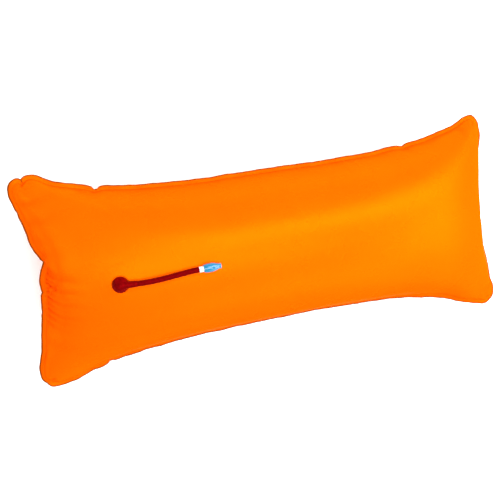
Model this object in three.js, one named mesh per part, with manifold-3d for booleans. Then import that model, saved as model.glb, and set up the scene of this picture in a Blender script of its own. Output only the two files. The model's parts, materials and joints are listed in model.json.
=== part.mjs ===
// Inflatable buoyancy bag for a small sailing dinghy, in millimetres, +Z up.
// It lies on its back panel with the filling hose on top. The origin is on the ground under the
// middle of the bag, and +X runs along the bag, the way the hose points.
import * as THREE from 'three';
import { mergeVertices } from 'three/addons/utils/BufferGeometryUtils.js';
import Module from 'manifold-3d';

const wasm = await Module();
wasm.setup();

// ---- Driving dimensions ----

// Bag: two fabric panels, welded along a flat rim and blown up to a pillow.
const SEAM_HALF_LENGTH = 461;     // from the middle to the weld, at the corners
const END_DIP = 22;               // the weld draws in by this much at the middle of each end
const CORNER_HALF_WIDTH = 193;
const WAIST_HALF_WIDTH = 138;
const CORNER_RADIUS = 22;
const HALF_HEIGHT = 130;          // from the weld's plane up to the crown
const REST_HEIGHT = 123;          // from the weld's plane down to the flat that the bag lies on
const FABRIC = 1;                 // panel thickness
const WELD_WIDTH = 8;
const CLEARANCE = 0.3;            // between pieces that touch

// How the pillow changes from the middle to its ends: powers of the share of the half length.
const WIDENING = 3;
const SQUARING = 4;               // from a round section to an even spread of the cloth
const HEIGHT_FALL = 3.5;
const END_FLATTENING = 0.45;

// Panel cells from the middle outwards, and how much closer they lie towards the weld.
const CELLS_ALONG = 14;
const CELLS_ACROSS = 7;
const CROWDING_ALONG = 1.6;
const CROWDING_ACROSS = 1.35;

// Boot: the moulded elbow that the hose plugs into, in its own frame on the fabric.
const BOOT_STATION = -0.69;       // its place along the bag, as a share of the half length
const PATCH_RADIUS = 34;
const PATCH_THICKNESS = 0.8;
const FLANGE_RADIUS = 24;
const FLANGE_THICKNESS = 1.6;
const SPIGOT_RADIUS = 8;
const SPIGOT_END = -6;
const DOME_RADIUS = 14;
const DOME_START = 1;             // the round part starts this far above the fabric
const DOME_HEIGHT = 14;
const NECK_HEIGHT = 8.3;          // the hose's axis above the fabric
const NECK_RADIUS = 6.6;          // at the dome
const NECK_TIP_RADIUS = 5.5;
const NECK_END = 30;              // from the boot's middle
const SOCKET_START = 10;          // the hose is pushed in as far as this
const BOOT_BORE_RADIUS = 3.6;
const DOME_STEPS = 6;

// Hose: radii, and its centre line from inside the boot to its open end.
const HOSE_RADIUS = 4.8;
const HOSE_BORE_RADIUS = 3.3;
const HOSE_STEPS = 7;
const HOSE_SIDES = 12;
const HOSE_ROUTE = [
  [-305.0, 0.0, 244.5],
  [-295.6, 0.0, 246.8],
  [-285.9, 0.0, 249.1],
  [-277.1, 0.1, 251.1],
  [-268.2, 0.4, 252.8],
  [-259.4, 0.9, 254.2],
  [-250.6, 1.6, 255.4],
  [-241.8, 2.4, 256.4],
  [-232.9, 3.3, 257.2],
  [-224.1, 4.3, 257.7],
  [-215.3, 5.2, 258.2],
  [-206.5, 6.1, 258.6],
  [-197.6, 7.0, 259.0],
  [-188.8, 7.7, 259.3],
  [-180.5, 7.9, 259.5],
];

// Valve: places along its own axis, counted from the hose's end, and radii.
const TAIL_END = -12;
const TAIL_RADIUS = 2.5;
const BARB_RADIUS = 2.9;
const BARB_PITCH = 4;
const SEAT_BORE_RADIUS = 2;
const COLLAR_RADIUS = 5;
const COLLAR_END = 12;
const GUIDE_RADIUS = 4.5;
const GUIDE_END = 20;
const POCKET_START = 13;
const POCKET_RADIUS = 3.7;

const MOUTHPIECE_START = 8;
const MOUTHPIECE_MIDDLE = 21;     // where it is widest
const MOUTHPIECE_SHOULDER = 27;   // from here it narrows
const MOUTHPIECE_THROAT = 31;
const MOUTHPIECE_END = 39;
const MOUTHPIECE_REAR_RADIUS = 6.5;
const MOUTHPIECE_RADIUS = 8.1;
const THROAT_RADIUS = 5.6;
const MOUTHPIECE_TIP_RADIUS = 4.4;
const SWELL_STEPS = 4;
const TAPER_STEPS = 6;
const LIP_RADIUS = 4.7;
const LIP_LENGTH = 2;
const SLEEVE_CLEARANCE = 0.4;     // round the collar that the mouthpiece slides over
const MOUTH_BORE_RADIUS = 3.6;
const WEB_START = 23.5;
const WEB_END = 26;
const AIR_HOLES = 3;
const AIR_HOLE_RADIUS = 0.85;
const AIR_HOLE_RING = 2.45;

const STEM_RADIUS = 1;
const HEAD_RADIUS = 2.5;
const HEAD_THICKNESS = 1.2;
const SEAL_RADIUS = 2.7;
const SEAL_THICKNESS = 1;

const SPRING_RADIUS = 2.75;
const SPRING_WIRE_RADIUS = 0.35;
const SPRING_TURNS = 6;
const SPRING_STEPS_PER_TURN = 10;
const WIRE_SIDES = 6;

const ROUND_SIDES = 24;
const SMALL_SIDES = 16;
const AIR_HOLE_SIDES = 8;
const MERGE_TOLERANCE = 1e-4;

// ---- Solids ----

/** Turns a closed geometry into a manifold solid, by merging its shared vertices. */
function toSolid(geometry) {
  const bare = geometry.clone();
  bare.deleteAttribute('normal');
  bare.deleteAttribute('uv');
  const merged = mergeVertices(bare, MERGE_TOLERANCE);
  return new wasm.Manifold(new wasm.Mesh({
    numProp: 3,
    vertProperties: new Float32Array(merged.attributes.position.array),
    triVerts: new Uint32Array(merged.index.array),
  }));
}

/** Turns a manifold solid back into a geometry. */
function toGeometry(solid) {
  const mesh = solid.getMesh();
  const geometry = new THREE.BufferGeometry();
  geometry.setAttribute('position', new THREE.BufferAttribute(mesh.vertProperties, 3));
  geometry.setIndex(new THREE.BufferAttribute(mesh.triVerts, 1));
  geometry.computeVertexNormals();
  return geometry;
}

/** Revolves an outline of [place, radius] points about the X axis. */
function turnedAboutX(outline, sides) {
  const points = outline.map(([place, radius]) => new THREE.Vector2(radius, place));
  return new THREE.LatheGeometry(points, sides).rotateZ(-Math.PI / 2);
}

/** Revolves an outline of [place, radius] points about the Z axis. */
function turnedAboutZ(outline, sides) {
  const points = outline.map(([place, radius]) => new THREE.Vector2(radius, place));
  return new THREE.LatheGeometry(points, sides).rotateX(Math.PI / 2);
}

/** A round bar or cone along X from one place to another. */
function barAlongX(from, to, startRadius, endRadius, sides) {
  return new THREE.CylinderGeometry(endRadius, startRadius, to - from, sides)
    .rotateZ(-Math.PI / 2)
    .translate((from + to) / 2, 0, 0);
}

/** A round bar along Z from one height to another. */
function barAlongZ(from, to, radius, sides) {
  return new THREE.CylinderGeometry(radius, radius, to - from, sides)
    .rotateX(Math.PI / 2)
    .translate(0, 0, (from + to) / 2);
}

/** A round outline, with a hole in it if a bore is given. */
function roundSection(radius, bore) {
  const section = new THREE.Shape().absarc(0, 0, radius, 0, 2 * Math.PI);
  if (bore) {
    section.holes.push(new THREE.Path().absarc(0, 0, bore, 0, 2 * Math.PI));
  }
  return section;
}

/** A geometry made from triangles, each of three Vector3. */
function fromTriangles(triangles, flipped) {
  const corners = triangles.flatMap((t) => (flipped ? [t[0], t[2], t[1]] : t));
  return new THREE.BufferGeometry().setFromPoints(corners);
}

// ---- Bag ----

const RIM_FACE = CLEARANCE / 2 + FABRIC;   // the weld rim's outer face, from the weld's plane

/** Panel stations from -1 to 1, closer together towards both ends. */
function stations(cells, crowding) {
  const list = [];
  for (let i = -cells; i <= cells; i += 1) {
    list.push(Math.sign(i) * (1 - (1 - Math.abs(i) / cells) ** crowding));
  }
  return list;
}

const ALONG = stations(CELLS_ALONG, CROWDING_ALONG);
const ACROSS = stations(CELLS_ACROSS, CROWDING_ACROSS);

/** Moves a station pair off the square panel's corners, on to the round corners. */
function roundedCorner(u, v) {
  const straightX = SEAM_HALF_LENGTH - CORNER_RADIUS;
  const straightY = CORNER_HALF_WIDTH - CORNER_RADIUS;
  const pastX = Math.abs(u) * SEAM_HALF_LENGTH - straightX;
  const pastY = Math.abs(v) * CORNER_HALF_WIDTH - straightY;
  if (pastX <= 0 || pastY <= 0) {
    return [u, v];
  }
  const pull = Math.max(pastX, pastY) / Math.hypot(pastX, pastY);
  return [
    Math.sign(u) * (straightX + pastX * pull) / SEAM_HALF_LENGTH,
    Math.sign(v) * (straightY + pastY * pull) / CORNER_HALF_WIDTH,
  ];
}

/** A point of the blown-up panel, above the weld's plane and sunk into it by depth. */
function skinPoint(u, v, depth) {
  const reach = Math.abs(u);
  const squareness = reach ** SQUARING;
  const waist = WAIST_HALF_WIDTH - depth;
  const corner = CORNER_HALF_WIDTH - depth;
  const halfWidth = waist + (corner - waist) * reach ** WIDENING;
  const roundness = Math.sin(v * Math.PI / 2);
  const dip = END_DIP * (1 - v * v) * reach ** WIDENING;
  const rise = Math.sqrt(Math.max(0, 1 - reach ** HEIGHT_FALL));
  const arch = Math.max(0, Math.cos(v * Math.PI / 2)) ** (1 - END_FLATTENING * squareness);
  return new THREE.Vector3(
    u * (SEAM_HALF_LENGTH - depth - dip),
    halfWidth * (roundness * (1 - squareness) + v * squareness),
    RIM_FACE - depth + (HALF_HEIGHT - RIM_FACE) * rise * arch,
  );
}

/** The panel's grid of points, no further from the weld's plane than the limit. */
function skinGrid(depth, limit) {
  return ALONG.map((u) => ACROSS.map((v) => {
    const point = skinPoint(...roundedCorner(u, v), depth);
    point.z = Math.min(point.z, limit - depth);
    return point;
  }));
}

/** The grid's outer points in order round the panel. */
function borderOf(grid) {
  const last = grid.length - 1;
  const side = grid[0].length - 1;
  const border = [];
  for (let i = 0; i < last; i += 1) border.push(grid[i][0]);
  for (let j = 0; j < side; j += 1) border.push(grid[last][j]);
  for (let i = last; i > 0; i -= 1) border.push(grid[i][side]);
  for (let j = side; j > 0; j -= 1) border.push(grid[0][j]);
  return border;
}

/** Adds the two triangles of a four-cornered facet. */
function addFacet(triangles, a, b, c, d) {
  triangles.push([a, b, c], [a, c, d]);
}

/** Adds a strip of facets between two closed rows of points. */
function addStrip(triangles, upper, lower) {
  upper.forEach((point, k) => {
    const next = (k + 1) % upper.length;
    addFacet(triangles, point, lower[k], lower[next], upper[next]);
  });
}

/** Adds the facets of a grid, facing up, or down if reversed. */
function addGrid(triangles, grid, reversed) {
  for (let i = 0; i + 1 < grid.length; i += 1) {
    for (let j = 0; j + 1 < grid[i].length; j += 1) {
      const facet = [grid[i][j], grid[i + 1][j], grid[i + 1][j + 1], grid[i][j + 1]];
      addFacet(triangles, ...(reversed ? facet.reverse() : facet));
    }
  }
}

/** The weld rim's outer edge at one height: the border moved outwards by the weld's width. */
function rimEdge(border, height) {
  const count = border.length;
  return border.map((point, k) => {
    const before = border[(k + count - 1) % count];
    const after = border[(k + 1) % count];
    const outwards = new THREE.Vector2(after.y - before.y, before.x - after.x).setLength(WELD_WIDTH);
    return new THREE.Vector3(point.x + outwards.x, point.y + outwards.y, height);
  });
}

/** One panel: a thin shell with a flat rim, the right way up or upside down. */
function panelGeometry(limit, upsideDown) {
  const outside = skinGrid(0, limit);
  const inside = skinGrid(FABRIC, limit);
  const border = borderOf(outside);
  const rimTop = rimEdge(border, RIM_FACE);
  const rimBottom = rimEdge(border, RIM_FACE - FABRIC);
  const triangles = [];
  addGrid(triangles, outside, false);
  addStrip(triangles, border, rimTop);
  addStrip(triangles, rimTop, rimBottom);
  addStrip(triangles, rimBottom, borderOf(inside));
  addGrid(triangles, inside, true);
  if (upsideDown) {
    triangles.flat().forEach((point) => {
      point.z = -Math.abs(point.z);
    });
  }
  return fromTriangles(triangles, upsideDown).translate(0, 0, REST_HEIGHT);
}

/** Everything under the front panel's surface sunk by depth, down to just below the weld. */
function underSkin(depth) {
  const grid = skinGrid(depth, HALF_HEIGHT);
  const floor = grid.map((row) => row.map((point) => point.clone().setZ(-WELD_WIDTH)));
  const triangles = [];
  addGrid(triangles, grid, false);
  addStrip(triangles, borderOf(grid), borderOf(floor));
  addGrid(triangles, floor, true);
  return toSolid(fromTriangles(triangles, false).translate(0, 0, REST_HEIGHT));
}

// ---- Boot frame: on the fabric, +Z out of it and +X along the hose ----

const bootFrame = new THREE.Group();
const bootFoot = skinPoint(BOOT_STATION, 0, 0);
const STATION_STEP = 0.005;
const bootSlope = skinPoint(BOOT_STATION + STATION_STEP, 0, 0)
  .sub(skinPoint(BOOT_STATION - STATION_STEP, 0, 0));
bootFrame.position.set(bootFoot.x, 0, bootFoot.z + REST_HEIGHT);
bootFrame.rotation.y = -Math.atan2(bootSlope.z, bootSlope.x);
bootFrame.updateMatrix();

/** A disc that follows the fabric, between two depths under its outer face. */
function fabricDisc(topDepth, bottomDepth, radius) {
  const layer = underSkin(topDepth).subtract(underSkin(bottomDepth));
  const cutter = barAlongZ(-radius, radius, radius, ROUND_SIDES).applyMatrix4(bootFrame.matrix);
  return layer.intersect(toSolid(cutter));
}

/** The same solid in the boot's own frame. */
function inBootFrame(solid) {
  return toSolid(toGeometry(solid).applyMatrix4(bootFrame.matrix.clone().invert()));
}

const BOOT_HOLE_RADIUS = DOME_RADIUS + CLEARANCE;
const PATCH_DEPTH = FABRIC + CLEARANCE;
const FLANGE_DEPTH = PATCH_DEPTH + PATCH_THICKNESS + CLEARANCE;

/** The hole that the boot's dome comes through. */
function bootHole() {
  return toSolid(barAlongZ(-2 * DOME_RADIUS, DOME_RADIUS, BOOT_HOLE_RADIUS, ROUND_SIDES));
}

function frontPanelGeometry() {
  const hole = toGeometry(bootHole()).applyMatrix4(bootFrame.matrix);
  return toGeometry(toSolid(panelGeometry(HALF_HEIGHT, false)).subtract(toSolid(hole)));
}

function backPanelGeometry() {
  return panelGeometry(REST_HEIGHT, true);
}

function patchGeometry() {
  const disc = fabricDisc(PATCH_DEPTH, PATCH_DEPTH + PATCH_THICKNESS, PATCH_RADIUS);
  return toGeometry(inBootFrame(disc).subtract(bootHole()));
}

function bootGeometry() {
  const dome = [[SPIGOT_END, 0], [SPIGOT_END, SPIGOT_RADIUS]];
  dome.push([-FLANGE_DEPTH - FLANGE_THICKNESS / 2, SPIGOT_RADIUS]);
  dome.push([-FLANGE_DEPTH - FLANGE_THICKNESS / 2, DOME_RADIUS]);
  for (let i = 0; i <= DOME_STEPS; i += 1) {
    const angle = i / DOME_STEPS * Math.PI / 2;
    const radius = i < DOME_STEPS ? DOME_RADIUS * Math.cos(angle) : 0;
    dome.push([DOME_START + (DOME_HEIGHT - DOME_START) * Math.sin(angle), radius]);
  }
  const flange = fabricDisc(FLANGE_DEPTH, FLANGE_DEPTH + FLANGE_THICKNESS, FLANGE_RADIUS);
  const neck = barAlongX(0, NECK_END, NECK_RADIUS, NECK_TIP_RADIUS, ROUND_SIDES);
  const socketRadius = HOSE_RADIUS + CLEARANCE;
  const socketEnd = SOCKET_START - CLEARANCE;
  const socket = barAlongX(socketEnd, NECK_END + 1, socketRadius, socketRadius, ROUND_SIDES);
  const gallery = barAlongX(0, SOCKET_START, BOOT_BORE_RADIUS, BOOT_BORE_RADIUS, SMALL_SIDES);
  const riser = barAlongZ(SPIGOT_END - 1, NECK_HEIGHT, BOOT_BORE_RADIUS, SMALL_SIDES);
  const elbow = new THREE.SphereGeometry(BOOT_BORE_RADIUS, SMALL_SIDES, SMALL_SIDES / 2);
  return toGeometry(toSolid(turnedAboutZ(dome, ROUND_SIDES))
    .add(inBootFrame(flange))
    .add(toSolid(neck.translate(0, 0, NECK_HEIGHT)))
    .subtract(toSolid(socket.translate(0, 0, NECK_HEIGHT)))
    .subtract(toSolid(gallery.translate(0, 0, NECK_HEIGHT)))
    .subtract(toSolid(elbow.translate(0, 0, NECK_HEIGHT)))
    .subtract(toSolid(riser)));
}

// ---- Hose ----

const hoseLine = new THREE.CatmullRomCurve3(HOSE_ROUTE.map((p) => new THREE.Vector3(...p)));

function hoseGeometry() {
  return new THREE.ExtrudeGeometry(roundSection(HOSE_RADIUS, HOSE_BORE_RADIUS), {
    steps: HOSE_STEPS,
    curveSegments: HOSE_SIDES / 2,
    extrudePath: hoseLine,
  });
}

// ---- Valve frame: at the hose's end, +X out of the hose ----

const valveFrame = new THREE.Group();
valveFrame.position.copy(hoseLine.getPoint(1));
valveFrame.quaternion.setFromUnitVectors(new THREE.Vector3(1, 0, 0), hoseLine.getTangent(1));

function valveBodyGeometry() {
  const outline = [[TAIL_END, SEAT_BORE_RADIUS], [TAIL_END, TAIL_RADIUS]];
  for (let barb = TAIL_END + BARB_PITCH; barb < 0; barb += BARB_PITCH) {
    outline.push([barb - BARB_PITCH / 4, BARB_RADIUS], [barb, BARB_RADIUS], [barb, TAIL_RADIUS]);
  }
  outline.push([CLEARANCE, TAIL_RADIUS], [CLEARANCE, COLLAR_RADIUS], [COLLAR_END, COLLAR_RADIUS]);
  outline.push([COLLAR_END, GUIDE_RADIUS], [GUIDE_END, GUIDE_RADIUS], [GUIDE_END, POCKET_RADIUS]);
  outline.push([POCKET_START, POCKET_RADIUS], [POCKET_START, SEAT_BORE_RADIUS], outline[0]);
  return turnedAboutX(outline, ROUND_SIDES);
}

function mouthpieceGeometry() {
  const cavityRadius = COLLAR_RADIUS + SLEEVE_CLEARANCE;
  const outline = [[MOUTHPIECE_START, cavityRadius], [MOUTHPIECE_START, MOUTHPIECE_REAR_RADIUS]];
  const swell = new THREE.QuadraticBezierCurve(
    new THREE.Vector2(MOUTHPIECE_START, MOUTHPIECE_REAR_RADIUS),
    new THREE.Vector2((MOUTHPIECE_START + MOUTHPIECE_MIDDLE) / 2, MOUTHPIECE_RADIUS),
    new THREE.Vector2(MOUTHPIECE_MIDDLE, MOUTHPIECE_RADIUS),
  );
  const taper = new THREE.CubicBezierCurve(
    new THREE.Vector2(MOUTHPIECE_MIDDLE, MOUTHPIECE_RADIUS),
    new THREE.Vector2(MOUTHPIECE_SHOULDER, MOUTHPIECE_RADIUS),
    new THREE.Vector2(MOUTHPIECE_THROAT, THROAT_RADIUS),
    new THREE.Vector2(MOUTHPIECE_END - LIP_LENGTH, MOUTHPIECE_TIP_RADIUS),
  );
  outline.push(...swell.getPoints(SWELL_STEPS).slice(1).map((p) => [p.x, p.y]));
  outline.push(...taper.getPoints(TAPER_STEPS).slice(1).map((p) => [p.x, p.y]));
  outline.push([MOUTHPIECE_END - LIP_LENGTH / 2, LIP_RADIUS], [MOUTHPIECE_END, LIP_RADIUS]);
  outline.push([MOUTHPIECE_END, MOUTH_BORE_RADIUS], [WEB_END, MOUTH_BORE_RADIUS]);
  const stemHole = STEM_RADIUS + CLEARANCE;
  outline.push([WEB_END, stemHole], [WEB_START, stemHole], [WEB_START, cavityRadius], outline[0]);
  let solid = toSolid(turnedAboutX(outline, ROUND_SIDES));
  for (let i = 0; i < AIR_HOLES; i += 1) {
    const from = WEB_START - 1;
    const hole = barAlongX(from, WEB_END + 1, AIR_HOLE_RADIUS, AIR_HOLE_RADIUS, AIR_HOLE_SIDES)
      .translate(0, AIR_HOLE_RING, 0)
      .rotateX(i / AIR_HOLES * 2 * Math.PI);
    solid = solid.subtract(toSolid(hole));
  }
  return toGeometry(solid);
}

const SEAL_FACE = TAIL_END - CLEARANCE;
const HEAD_FACE = SEAL_FACE - SEAL_THICKNESS - CLEARANCE;

function poppetGeometry() {
  const back = HEAD_FACE - HEAD_THICKNESS;
  const tip = WEB_END - CLEARANCE;
  const outline = [[back, 0], [back, HEAD_RADIUS], [HEAD_FACE, HEAD_RADIUS]];
  outline.push([HEAD_FACE, STEM_RADIUS], [tip, STEM_RADIUS], [tip, 0]);
  return turnedAboutX(outline, SMALL_SIDES);
}

function sealGeometry() {
  const bore = STEM_RADIUS + CLEARANCE;
  const back = SEAL_FACE - SEAL_THICKNESS;
  const outline = [[back, bore], [back, SEAL_RADIUS], [SEAL_FACE, SEAL_RADIUS], [SEAL_FACE, bore]];
  outline.push(outline[0]);
  return turnedAboutX(outline, SMALL_SIDES);
}

/** The centre line of a coil spring along X. */
class CoilLine extends THREE.Curve {
  constructor(from, to, radius, turns) {
    super();
    this.ends = [from, to];
    this.radius = radius;
    this.turns = turns;
  }

  getPoint(t, target = new THREE.Vector3()) {
    const angle = t * this.turns * 2 * Math.PI;
    const place = THREE.MathUtils.lerp(...this.ends, t);
    return target.set(place, this.radius * Math.cos(angle), this.radius * Math.sin(angle));
  }
}

function springGeometry() {
  const inset = CLEARANCE + SPRING_WIRE_RADIUS;
  const line = new CoilLine(POCKET_START + inset, WEB_START - inset, SPRING_RADIUS, SPRING_TURNS);
  return new THREE.ExtrudeGeometry(roundSection(SPRING_WIRE_RADIUS), {
    steps: SPRING_TURNS * SPRING_STEPS_PER_TURN,
    curveSegments: WIRE_SIDES / 2,
    extrudePath: line,
  });
}

// ---- Assembly ----

/** Adds one named piece with its own material to a frame. */
function addPiece(frame, name, geometry, colour, roughness, metalness = 0) {
  const material = new THREE.MeshStandardMaterial({ color: colour, roughness, metalness });
  const mesh = new THREE.Mesh(geometry, material);
  mesh.name = name;
  frame.add(mesh);
}

const bag = new THREE.Group();
bag.add(bootFrame, valveFrame);

addPiece(bag, 'front_panel', frontPanelGeometry(), 0xff7300, 0.5);
addPiece(bag, 'back_panel', backPanelGeometry(), 0xff7300, 0.5);
addPiece(bootFrame, 'reinforcement_patch', patchGeometry(), 0xf06a00, 0.6);
addPiece(bootFrame, 'hose_boot', bootGeometry(), 0x9a0c16, 0.4);
addPiece(bag, 'fill_hose', hoseGeometry(), 0x8a0a14, 0.4);
addPiece(valveFrame, 'valve_body', valveBodyGeometry(), 0xf2f4f6, 0.35);
addPiece(valveFrame, 'mouthpiece', mouthpieceGeometry(), 0x58b4e6, 0.15);
addPiece(valveFrame, 'poppet', poppetGeometry(), 0xf2f4f6, 0.4);
addPiece(valveFrame, 'poppet_seal', sealGeometry(), 0x1c1c1c, 0.7);
addPiece(valveFrame, 'return_spring', springGeometry(), 0xc8ccd0, 0.25, 1);

export default bag;
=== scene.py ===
"""An inflated buoyancy bag on its back, with its filling hose and mouth valve. Metres, +Z up."""

import json
import math

import bmesh
import bpy
import numpy as np
import openvdb
from mathutils import Matrix, Vector


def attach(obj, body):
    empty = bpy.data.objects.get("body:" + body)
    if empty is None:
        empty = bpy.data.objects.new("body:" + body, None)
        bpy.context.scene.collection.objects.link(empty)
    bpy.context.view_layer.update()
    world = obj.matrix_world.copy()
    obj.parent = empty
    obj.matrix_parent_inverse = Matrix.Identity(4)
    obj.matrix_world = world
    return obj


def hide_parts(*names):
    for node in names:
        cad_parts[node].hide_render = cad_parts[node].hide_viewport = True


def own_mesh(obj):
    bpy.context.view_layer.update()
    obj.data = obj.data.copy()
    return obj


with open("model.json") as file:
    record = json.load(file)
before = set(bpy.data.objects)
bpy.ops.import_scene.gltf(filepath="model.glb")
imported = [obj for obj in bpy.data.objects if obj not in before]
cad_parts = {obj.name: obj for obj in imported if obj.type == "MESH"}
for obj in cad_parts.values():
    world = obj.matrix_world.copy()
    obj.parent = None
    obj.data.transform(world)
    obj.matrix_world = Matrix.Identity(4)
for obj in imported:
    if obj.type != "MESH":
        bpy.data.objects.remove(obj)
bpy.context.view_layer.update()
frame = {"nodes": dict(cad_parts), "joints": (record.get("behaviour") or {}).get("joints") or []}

# ---- Sizes and places, as in the CAD part ----

MM = 0.001

SEAM_HALF_LENGTH = 0.461
END_DIP = 0.022
CORNER_HALF_WIDTH = 0.193
WAIST_HALF_WIDTH = 0.138
CORNER_RADIUS = 0.022
CROWN = 0.130
SEAM_HEIGHT = 0.123
WELD_WIDTH = 0.008
WIDENING = 3
SQUARING = 4
HEIGHT_FALL = 3.5
END_FLATTENING = 0.45

BOOT_STATION = -0.69
PATCH_RADIUS = 34 * MM
FLANGE_RADIUS = 24 * MM
DOME_RADIUS = 14 * MM
HOSE_DIAMETER = 9.6 * MM
HOSE_ROUTE_MM = [
    (-305.0, 0.0, 244.5),
    (-295.6, 0.0, 246.8),
    (-285.9, 0.0, 249.1),
    (-277.1, 0.1, 251.1),
    (-268.2, 0.4, 252.8),
    (-259.4, 0.9, 254.2),
    (-250.6, 1.6, 255.4),
    (-241.8, 2.4, 256.4),
    (-232.9, 3.3, 257.2),
    (-224.1, 4.3, 257.7),
    (-215.3, 5.2, 258.2),
    (-206.5, 6.1, 258.6),
    (-197.6, 7.0, 259.0),
    (-188.8, 7.7, 259.3),
    (-180.5, 7.9, 259.5),
]
HOSE_ROUTE = np.array(HOSE_ROUTE_MM) * MM

# ---- The cloth of the two panels ----

CLOTH_LENGTH = 0.980  # between the welds, lying flat
CLOTH_WIDTH = 0.420
CLOTH_CORNER = 0.026
CLOTH_THICKNESS = 0.5 * MM
WELD_FACE = 0.55 * MM  # the weld's outer faces, from its middle plane
SIM_CELL = 8.5 * MM
SIM_FRAMES = 36
CLOTH_SETTINGS = {
    "quality": 6, "mass": 0.1, "use_pressure": True, "uniform_pressure_force": 8,
    "tension_stiffness": 60, "compression_stiffness": 60, "shear_stiffness": 30,
    "tension_damping": 5, "compression_damping": 5, "shear_damping": 5,
    "bending_stiffness": 0.5, "air_damping": 2,
}
HOLE_RADIUS = 13.8 * MM  # the fabric's hole, just inside the boot's dome
HOLE_CELLS = 5  # half the cells along each side of the hole's block

# ---- Camera, lights and floor ----

CAMERA_PLACE = Vector((-0.461, 0.313, 1.607))
CAMERA_AIM = Vector((-0.049, -0.002, SEAM_HEIGHT))
CAMERA_UP = Vector((0.162, 0.973, -0.161))
CAMERA_LENS = 59.4
SENSOR_WIDTH = 36

# Softboxes: name, direction from the bag, distance, width and height, and power in watts.
SOFTBOXES = [
    ("strip", (0.50, 0.55, 0.87), 2.4, (3.0, 0.7), 56),
    ("key", (0.76, -0.12, 0.63), 3.5, (1.6, 3.2), 86),
    ("top", (-0.12, 0.00, 0.99), 3.5, (3.2, 1.8), 99),
    ("left", (-0.83, 0.04, 0.56), 3.0, (0.8, 1.6), 15),
    ("front", (0.45, -0.80, 0.42), 3.5, (3.0, 2.4), 49),
]
WORLD_STRENGTH = 0.5
FLOOR_REACH = 60.0  # far enough for a horizon in low views
FLOOR_WHITE = 0.93
FLOOR_GLOW = 0.15


def add_object(name, data):
    """A new object in the scene."""
    thing = bpy.data.objects.new(name, data)
    bpy.context.scene.collection.objects.link(thing)
    return thing


def turned_towards(direction, up):
    """The rotation of a camera or light that looks along direction with its top towards up."""
    back = -direction.normalized()
    right = up.cross(back).normalized()
    return Matrix((right, back.cross(right), back)).transposed().to_4x4()


def make_camera():
    data = bpy.data.cameras.new("camera")
    data.lens = CAMERA_LENS
    data.sensor_width = SENSOR_WIDTH
    camera = add_object("camera", data)
    camera.matrix_world = Matrix.Translation(CAMERA_PLACE) @ turned_towards(
        CAMERA_AIM - CAMERA_PLACE, CAMERA_UP
    )
    bpy.context.scene.camera = camera


def make_softbox(name, direction, distance, size, power):
    """A rectangular light that shines on the bag's middle from a direction."""
    data = bpy.data.lights.new(name, "AREA")
    data.shape = "RECTANGLE"
    data.size, data.size_y = size
    data.energy = power
    light = add_object(name, data)
    away = Vector(direction).normalized()
    place = Vector((0, 0, SEAM_HEIGHT)) + away * distance
    light.matrix_world = Matrix.Translation(place) @ turned_towards(-away, Vector((0, 1, 0.01)))


def make_studio():
    world = bpy.data.worlds.new("studio")
    bpy.context.scene.world = world
    world.use_nodes = True
    background = world.node_tree.nodes["Background"]
    background.inputs["Color"].default_value = (1, 1, 1, 1)
    background.inputs["Strength"].default_value = WORLD_STRENGTH
    for softbox in SOFTBOXES:
        make_softbox(*softbox)
    bpy.context.scene.view_settings.view_transform = "Standard"


def make_floor():
    mesh = bpy.data.meshes.new("floor")
    sides = ((-1, -1), (1, -1), (1, 1), (-1, 1))
    corners = [(x * FLOOR_REACH, y * FLOOR_REACH, 0) for x, y in sides]
    mesh.from_pydata(corners, [], [(0, 1, 2, 3)])
    floor = add_object("floor", mesh)
    glow = {"Emission_Color": (1, 1, 1, 1), "Emission_Strength": FLOOR_GLOW}
    paper = Finish("floor_paper", (FLOOR_WHITE,) * 3, 0.8, **glow)
    mesh.materials.append(paper.material)


# ---- Materials ----


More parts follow.
